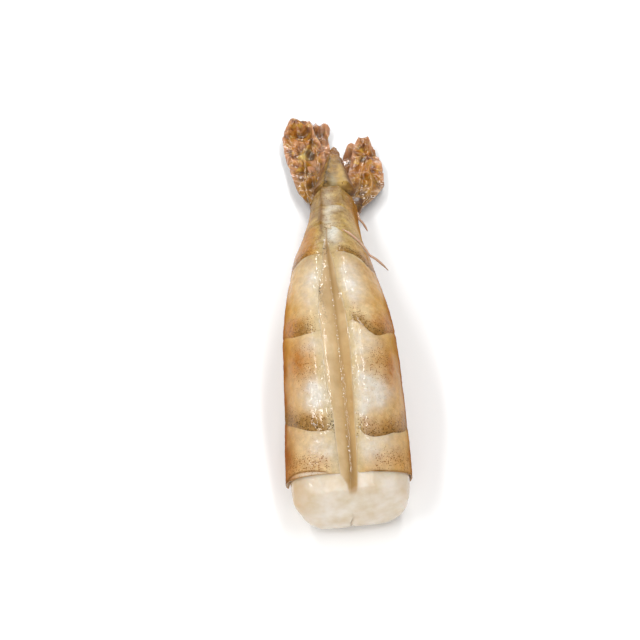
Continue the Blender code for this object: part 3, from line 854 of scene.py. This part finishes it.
def creases(flat):
    """Sharp-backed folds in random directions: the ridges of three noises that bend each other."""
    bent = flat + 2.2 * Vector((noise.noise(flat * 0.2), noise.noise(flat * 0.2 + Vector((5, 5, 5))), 0))
    coarse = 1 - 2.4 * abs(noise.noise(bent * 0.15))
    middle = 1 - 2.4 * abs(noise.noise(bent * 0.28 + Vector((11, 0, 0))))
    small = 1 - 2.4 * abs(noise.noise(bent * 0.62 + Vector((0, 17, 0))))
    return coarse, middle, small


def fan_leaf(name, seed):
    rows = LEAVES[name]
    last = len(rows) - 1
    left_x, right_x, row_y, row_z = (
        smooth_curve([(i / last, row[k]) for i, row in enumerate(rows)]) for k in range(4)
    )
    bm = new_sheet(90, 170)
    layers = {key: bm.verts.layers.float.new(key) for key in FAN_MARKS}
    shift = Vector((seed * 13, seed * 7, 0))
    for vert in bm.verts:
        u, w, outer = vert.co.x, vert.co.y, vert.co.z > 0.5
        # The outer leaves run on a little under the telson.
        left = left_x(w) - (1.6 if name == "uropod_right_outer" else 0) * smooth(0.75, 0.4, w)
        right = right_x(w) + (1.8 if name == "uropod_left_outer" else 0) * smooth(0.85, 0.5, w)
        width = right - left
        along = row_y(w)
        torn = 0.30 * noise.noise(Vector((u, along * 0.6, seed)))
        torn += 0.10 * noise.noise(Vector((u, along * 2, seed)))
        x = left + width * u + torn * (2 * u - 1) * smooth(0.1, 0.4, w)
        ragged = 0.7 * noise.noise(Vector((x * 0.5, 0, seed)))
        ragged += 0.15 * noise.noise(Vector((x * 1.8, 0, seed)))
        y = along + smooth(0.75, 1, w) * ragged
        flat = Vector((x, y, 0)) + shift
        coarse, middle, small = creases(flat)
        struts = 0
        for near, far in STRUTS[name]:
            line = near + (far - near) * w / 0.6
            struts = max(struts, hump((u - line) * width, 0, 0.32) * smooth(0.7, 0.4, w))
        cup = 0.5 * (2 * u - 1) ** 2 * (1 - 0.6 * w) - 0.9 * math.sin(math.pi * w)
        loose = 0.35 + 0.65 * smooth(0.05, 0.4, w)
        folded = 1.5 * (coarse - 0.5) + 0.8 * (middle - 0.5) + 0.16 * (small - 0.5)
        z = row_z(w) + cup + loose * folded + 0.3 * struts
        vert.co = Vector((x, y, max(z, 0.75) - (0 if outer else 0.3)))
        if not outer:
            continue
        inner = name.endswith("inner")
        edge = min(u * width, (1 - u) * width, (1 - w) * (row_y(1) - row_y(0)))
        deep = noise.noise(flat * 0.26 + Vector((3, 1, 0)))
        # Painted shade in the folds' valleys and painted light on their ridges, over the folds' own tone.
        shade = 0.5 + 0.38 * (middle - 0.45) + 0.30 * (small - 0.5) + 0.2 * (coarse - 0.5)
        vert[layers["fold_shade"]] = min(max(shade, 0), 1)
        vert[layers["fringe"]] = 0.9 * hump(edge, 0, 3.5 if inner else 1.1) * smooth(0.15, 0.4, w)
        vert[layers["strut"]] = 0.6 * struts * smooth(0, 0.08, w)
        spots = smooth(0.14, 0.44, deep) * smooth(0.3, 0.55, w) * smooth(0.8, 2.4, edge)
        vert[layers["dark"]] = spots * (0.3 if inner else 0.75)
        # Painted glints: scattered gold spots, and a bigger one on the left outer leaf.
        glint = smooth(0.36, 0.5, noise.noise(flat * 0.62 + Vector((9, 4, 0))))
        spot = hump(x, -6.1, 1) * hump(y, 128.1, 1.5)
        vert[layers["gold_glint"]] = min(glint * smooth(0.3, 0.5, w) * 0.25 + spot, 1)
        vert[layers["root"]] = smooth(0.5, 0.1, w) * 0.6
    bmesh.ops.recalc_face_normals(bm, faces=bm.faces)
    return bm


for seed, name in enumerate(LEAVES, 1):
    finish_piece(name.replace("uropod", "fan_leaf"), fan_leaf(name, seed), fan_material, [name])


# Fan bases: a short stout joint each side of the tail that carries the two leaves. Same chitin as
# the leaves, finely wrinkled and wet.
def limb(root, tip, wide, thick, turns, rows, seed):
    """A flattened tapering limb from root to tip, slightly lumpy."""
    run = tip - root
    across = run.cross(Vector((0, 0, 1))).normalized()
    normal = across.cross(run).normalized()
    bm = new_grid(turns, rows)
    for vert in bm.verts:
        a = 2 * math.pi * vert.co.x
        u = vert.co.y
        full = math.sin(math.pi * (0.16 + 0.76 * u) ** 0.8) ** 0.5
        full *= smooth(-0.06, 0.05, u) * smooth(1.06, 0.95, u)
        point = root + run * u + full * (across * (wide * math.cos(a)) + normal * (thick * math.sin(a)))
        lump = 0.16 * noise.noise(point * 0.5 + Vector((seed, 0, 0))) + 0.06 * noise.noise(point * 1.4)
        vert.co = point + across * (math.cos(a) * lump) + normal * (math.sin(a) * lump)
    close_tube(bm)
    return bm


for word, root_point, tip_point, wide in (
    ("left", Vector((-1.6, 105.2, 4.4)), Vector((-4.2, 110.2, 4.4)), 2.3),
    ("right", Vector((7, 105.2, 4.4)), Vector((11, 110.2, 4.2)), 2.9),
):
    bm = limb(root_point, tip_point, wide, 1.8, 40, 28, wide)
    finish_piece(f"fan_base_{word}", bm, fan_material, [f"uropod_{word}_base"])


# Belly legs: five pairs of flat swimming legs, folded back under the belly. They are thin pinkish
# chitin over soft tissue, and the fringe of fine hairs that real ones have is left out.
SWIMMERETS = (  # root along the body, root aside, length back, tip z, half width
    (19.0, 7.2, 18.0, 1.5, 3.1),
    (36.0, 7.0, 19.0, 1.5, 3.0),
    (54.0, 6.4, 19.0, 1.5, 2.8),
    (73.0, 5.6, 17.0, 1.5, 2.5),
    (90.0, 4.2, 13.0, 1.4, 2.0),
)
# Thin leg chitin: pinkish tan, streaked along the leg, wet.
leg_material, tree = new_material("thin_leg_chitin")
place = add_node(tree, "TexCoord").outputs["Object"]
streaked = add_node(tree, "Mapping", {"Vector": place, "Scale": (1, 0.15, 0.6)}).outputs[0]
streaks = add_node(tree, "TexNoise", {"Vector": streaked, "Scale": 1100, "Detail": 3}).outputs["Fac"]
cloud = add_node(tree, "TexNoise", {"Vector": place, "Scale": 300, "Detail": 3}).outputs["Fac"]
base = add_node(tree, "Mix", {0: cloud, 6: "#b98a5c", 7: "#99653c"}, data_type="RGBA").outputs[2]
base = add_node(tree, "Mix", {0: streaks, 6: base, 7: "#cba886"}, data_type="RGBA").outputs[2]
relief = add_node(tree, "Bump", {"Height": streaks, "Strength": 0.6, "Distance": 0.0004}).outputs[0]
surface = {
    "Base Color": base,
    "Roughness": 0.4,
    "IOR": 1.45,
    "Subsurface Weight": 0.3,
    "Subsurface Radius": (1, 0.55, 0.3),
    "Subsurface Scale": 0.0012,
    "Coat Weight": 1,
    "Coat Roughness": 0.1,
    "Normal": relief,
    "Coat Normal": relief,
}
shader = add_node(tree, "BsdfPrincipled", surface)
add_node(tree, "OutputMaterial", {"Surface": shader.outputs[0]})
for number, (start, aside, back_reach, tip_z, wide) in enumerate(SWIMMERETS, 1):
    for side, word in ((-1, "left"), (1, "right")):
        belly = skin(start, 180)
        root_point = Vector((side * aside + 0.3 * number, belly.y, belly.z - 2))
        tip_point = Vector((side * (aside + 0.6) + 0.3 * number, belly.y + back_reach, tip_z))
        bm = limb(root_point, tip_point, wide, 1.5, 40, 60, number)
        finish_piece(f"belly_leg_{number}_{word}", bm, leg_material, [f"swimmeret_{number}_{word}"])


# Feelers: two fine threads of the prawn's own, stuck to the wet right side of the tail, pinkish tan.
# They are thin jointed chitin, a little uneven along their length.
# Wet pinkish-tan chitin, clouded along the thread.
feeler_material, tree = new_material("pink_feeler_chitin")
place = add_node(tree, "TexCoord").outputs["Object"]
cloud = add_node(tree, "TexNoise", {"Vector": place, "Scale": 500, "Detail": 3}).outputs["Fac"]
base = add_node(tree, "Mix", {0: cloud, 6: "#cfae90", 7: "#9a6a45"}, data_type="RGBA").outputs[2]
relief = add_node(tree, "Bump", {"Height": cloud, "Strength": 0.4, "Distance": 0.0002}).outputs[0]
surface = {
    "Base Color": base,
    "Roughness": 0.35,
    "IOR": 1.45,
    "Subsurface Weight": 0.3,
    "Subsurface Radius": (1, 0.5, 0.3),
    "Subsurface Scale": 0.0006,
    "Coat Weight": 1,
    "Coat Roughness": 0.1,
    "Normal": relief,
}
shader = add_node(tree, "BsdfPrincipled", surface)
add_node(tree, "OutputMaterial", {"Surface": shader.outputs[0]})


def draped(start, end, turn_start, turn_end, lift, count):
    """Places on the skin from one angle to another."""
    places = []
    for k in range(count):
        u = k / (count - 1)
        places.append(skin(start + (end - start) * u, turn_start + (turn_end - turn_start) * u, lift))
    return places


def feeler(places, thick):
    paths = [smooth_curve([(i, p[k]) for i, p in enumerate(places)]) for k in range(3)]
    bm = new_grid(14, 60)
    for vert in bm.verts:
        t = vert.co.y * (len(places) - 1)
        a = 2 * math.pi * vert.co.x
        middle = Vector([path(t) for path in paths])
        run = Vector([path(t + 0.05) - path(t - 0.05) for path in paths])
        across = run.cross(Vector((0, 0, 1))).normalized()
        normal = across.cross(run).normalized()
        to_end = min(vert.co.y, 1 - vert.co.y)
        fine = thick * min(1, 0.3 + 6 * to_end) * (1 + 0.12 * noise.noise(middle * 1.3))
        vert.co = middle + across * (fine * math.cos(a)) + normal * (fine * math.sin(a))
    close_tube(bm)
    return bm


LONG_END = ((1.7, -1.1, -0.6), (3.5, -2.3, -1.7), (5.2, -3.3, -3.4))
long_feeler = draped(ALONG[5] - 3, ALONG[4] + 2, 22, 64, 1.2, 7)
long_feeler += [long_feeler[-1] + Vector(step) for step in LONG_END]
finish_piece("feeler_long", feeler(long_feeler, 0.34), feeler_material, ["thread_long"])
SHORT_END = ((1.2, -1.4, -0.8), (2.4, -3.2, -2.2))
short_feeler = draped(ALONG[6] + 3, ALONG[6] + 0.2, 84, 92, 1.5, 3)
short_feeler += [short_feeler[-1] + Vector(step) for step in SHORT_END]
finish_piece("feeler_short", feeler(short_feeler, 0.32), feeler_material, ["thread_short"])


# Floor, lights and camera: a plain pale table under soft studio light, seen from the front and above.
# Long narrow lamps over the body draw the chains of wet glints along the slit, and a small one
# behind it makes the fan's folds sparkle.
bm = bmesh.new()
bmesh.ops.create_grid(bm, x_segments=1, y_segments=1, size=2)
floor_mesh = bpy.data.meshes.new("floor")
bm.to_mesh(floor_mesh)
bm.free()
floor = bpy.data.objects.new("floor", floor_mesh)
bpy.context.scene.collection.objects.link(floor)
# Matt white paper.
floor_material, tree = new_material("pale_floor")
shader = add_node(tree, "BsdfPrincipled", {"Base Color": "#fbfbfb", "Roughness": 0.6})
add_node(tree, "OutputMaterial", {"Surface": shader.outputs[0]})
floor_mesh.materials.append(floor_material)

scene = bpy.context.scene
world = bpy.data.worlds.new("studio")
world.use_nodes = True
world.node_tree.nodes["Background"].inputs[0].default_value = (1, 1, 1, 1)
world.node_tree.nodes["Background"].inputs[1].default_value = 0.30
scene.world = world
scene.view_settings.view_transform = "Standard"

LOOK = Vector((-5.664, -12.835, 17.322)) * MM  # the point that the camera and lamps aim at
CAMERA_DISTANCE = 0.430
for name, aim, distance, width, length, power in (
    ("soft_front", (0.10, -1.20, 0.90), 0.60, 0.50, 0.35, 1.3),
    ("strip_left", (-0.44, 0.10, 0.88), 0.55, 0.055, 0.50, 1.2),
    ("strip_right", (0.24, 0.12, 0.95), 0.55, 0.055, 0.50, 1.2),
    ("strip_far_left", (-0.80, -0.25, 0.62), 0.55, 0.03, 0.25, 0.35),
    ("soft_rear", (0.05, 1, 0.22), 0.60, 0.40, 0.20, 0.6),
    ("spark_rear", (0.06, 0.70, 0.72), 0.60, 0.06, 0.06, 0.4),
):
    light = bpy.data.lights.new(name, "AREA")
    light.shape = "RECTANGLE"
    light.size = width
    light.size_y = length
    light.energy = power
    lamp = bpy.data.objects.new(name, light)
    scene.collection.objects.link(lamp)
    toward = Vector(aim).normalized()
    aside = Vector((0, 1, 0)).cross(toward).normalized()
    lamp.location = LOOK + toward * distance
    lamp.rotation_euler = Matrix((aside, toward.cross(aside), toward)).transposed().to_euler()

camera_data = bpy.data.cameras.new("camera")
camera_data.lens = 85
camera_data.sensor_width = 36
camera_data.clip_start = 0.01
camera = bpy.data.objects.new("camera", camera_data)
scene.collection.objects.link(camera)
rise, turn = math.radians(57), math.radians(-3.5)
back = Vector((math.sin(turn) * math.cos(rise), -math.cos(turn) * math.cos(rise), math.sin(rise)))
camera.location = LOOK + back * CAMERA_DISTANCE
camera.rotation_euler = back.to_track_quat("Z", "Y").to_euler()
scene.camera = camera
